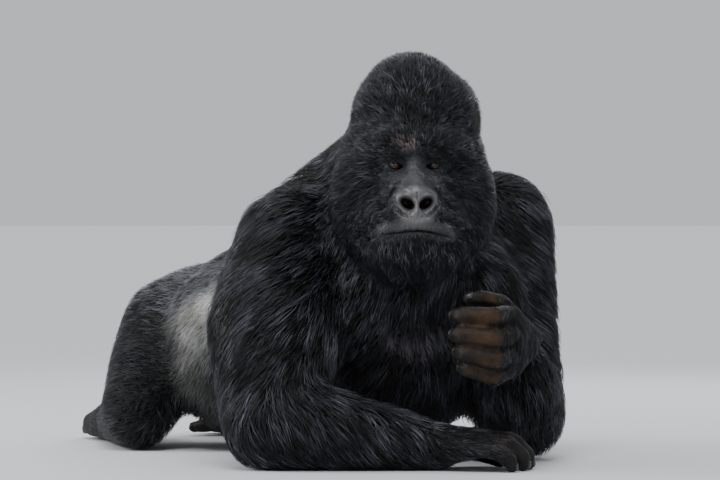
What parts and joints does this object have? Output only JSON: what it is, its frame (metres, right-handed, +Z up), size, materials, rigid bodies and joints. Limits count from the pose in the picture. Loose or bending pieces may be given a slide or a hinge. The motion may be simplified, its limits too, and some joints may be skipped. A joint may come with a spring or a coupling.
{
  "type": "gorilla model",
  "caption": "Life-size still model of a silverback gorilla resting on its elbows and knees, one hand curled before its chest, for display.",
  "frame": {"origin": "on the floor, under the middle of the model's bounding box", "axes": "+Z up, +Y along the trunk from the head towards the rump, -X on the animal's right side"},
  "size_m": [0.7916, 1.3588, 0.7503],
  "materials": {
    "coat": "long black hair, satin",
    "grey_coat": "short grizzled grey hair, matte",
    "silver_coat": "short silver hair, matte",
    "skin": "bare dark skin, creased, satin",
    "eye": "wet dark brown, glossy"
  },
  "bodies": {
    "root": {"abdomen": "silver_coat", "ear_left": "skin", "ear_right": "skin", "eye_left": "eye", "eye_right": "eye", "foot_left": "skin", "foot_right": "skin", "forearm_left": "coat", "forearm_right": "coat", "hand_left": "skin", "hand_right": "skin", "head": "coat", "index_finger_left": "skin", "index_finger_right": "skin", "little_finger_left": "skin", "little_finger_right": "skin", "middle_finger_left": "skin", "middle_finger_right": "skin", "neck": "coat", "pelvis": "grey_coat", "ring_finger_left": "skin", "ring_finger_right": "skin", "shank_left": "grey_coat", "shank_right": "grey_coat", "thigh_left": "grey_coat", "thigh_right": "grey_coat", "thorax": "coat", "thumb_digit_left": "skin", "thumb_digit_right": "skin", "upper_arm_left": "coat", "upper_arm_right": "coat"}
  },
  "joints": []
}
